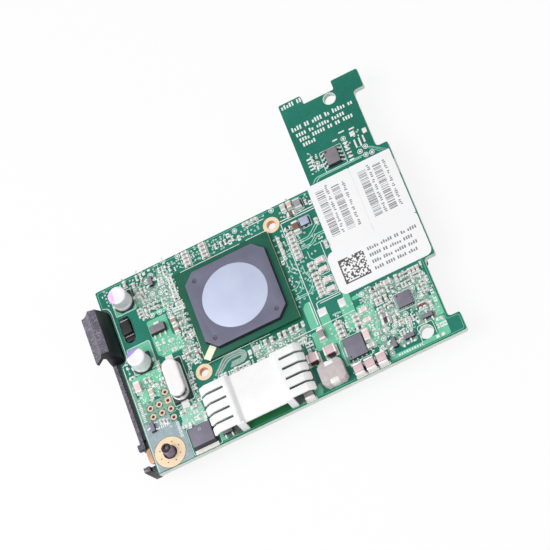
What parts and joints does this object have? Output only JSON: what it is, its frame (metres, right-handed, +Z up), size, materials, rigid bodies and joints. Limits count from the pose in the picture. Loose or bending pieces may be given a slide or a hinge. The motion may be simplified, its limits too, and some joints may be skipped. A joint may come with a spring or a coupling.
{
  "type": "mezzanine network card",
  "caption": "Small server board that plugs flat onto a larger one: controller chip, heat sink, edge clip and an underside plug.",
  "frame": {"origin": "middle of the footprint, at the height of the plane on which the card rests", "axes": "+X along the board's long edge, away from the edge clip; +Y towards the tongue; +Z up, out of the face that carries the parts"},
  "size_m": [0.0926, 0.083, 0.0134],
  "materials": {
    "solder_mask_green": "satin",
    "gold_plating": "polished",
    "solder": "satin",
    "substrate_green": "satin",
    "mould_compound": "matt",
    "nickel_slug": "satin",
    "tinned_sheet": "satin",
    "chip_plastic": "matt",
    "tinned_leads": "satin",
    "can_aluminium": "satin",
    "black_plastic": "matt",
    "crystal_steel": "polished",
    "inductor_powder": "matt",
    "oscillator_lid": "satin",
    "capacitor_ceramic": "satin",
    "fired_chip": "satin",
    "label_paper": "matt",
    "clip_plastic": "textured",
    "bushing_brass": "satin",
    "blackened_steel": "satin"
  },
  "bodies": {
    "root": {"circuit_board": "solder_mask_green", "sink_hole_rings": "gold_plating", "screw_pad": "gold_plating", "header_pads": "gold_plating", "controller_balls": "solder", "controller_substrate": "substrate_green", "controller_mould": "mould_compound", "controller_heat_slug": "nickel_slug", "controller_gate": "gold_plating", "heat_sink": "tinned_sheet", "cooled_device_body": "chip_plastic", "cooled_device_tab": "tinned_leads", "cooled_device_leads": "tinned_leads", "regulator_body": "chip_plastic", "regulator_tab": "tinned_leads", "regulator_leads": "tinned_leads", "round_capacitor_cans": "can_aluminium", "round_capacitor_bases": "black_plastic", "round_capacitor_tabs": "tinned_leads", "crystal_can": "crystal_steel", "crystal_base": "black_plastic", "crystal_leads": "tinned_leads", "inductor_core": "inductor_powder", "inductor_clips": "tinned_leads", "power_chip_body": "chip_plastic", "power_chip_pins": "tinned_leads", "oscillator_body": "oscillator_lid", "oscillator_pads": "tinned_leads", "control_chip_body": "chip_plastic", "control_chip_pins": "tinned_leads", "memory_chip_body": "chip_plastic", "memory_chip_leads": "tinned_leads", "tab_transistor_body": "chip_plastic", "tab_transistor_leads": "tinned_leads", "small_transistor_bodies": "chip_plastic", "small_transistor_leads": "tinned_leads", "filter_coil_body": "chip_plastic", "filter_coil_ends": "tinned_leads", "large_capacitor_bodies": "capacitor_ceramic", "large_capacitor_ends": "tinned_leads", "left_edge_chips": "fired_chip", "top_row_chips": "fired_chip", "low_row_chips": "fired_chip", "middle_chips": "fired_chip", "power_chips": "fired_chip", "corner_chips": "fired_chip", "tongue_chips": "fired_chip", "left_barcode_label": "label_paper", "right_barcode_label": "label_paper", "data_label": "label_paper", "edge_clip": "clip_plastic", "brass_bushing": "bushing_brass", "clip_screw": "blackened_steel", "plug_housing": "black_plastic", "plug_contacts": "gold_plating", "underside_chip_bodies": "chip_plastic", "underside_chip_leads": "tinned_leads", "underside_fired_chips": "fired_chip"}
  },
  "joints": []
}
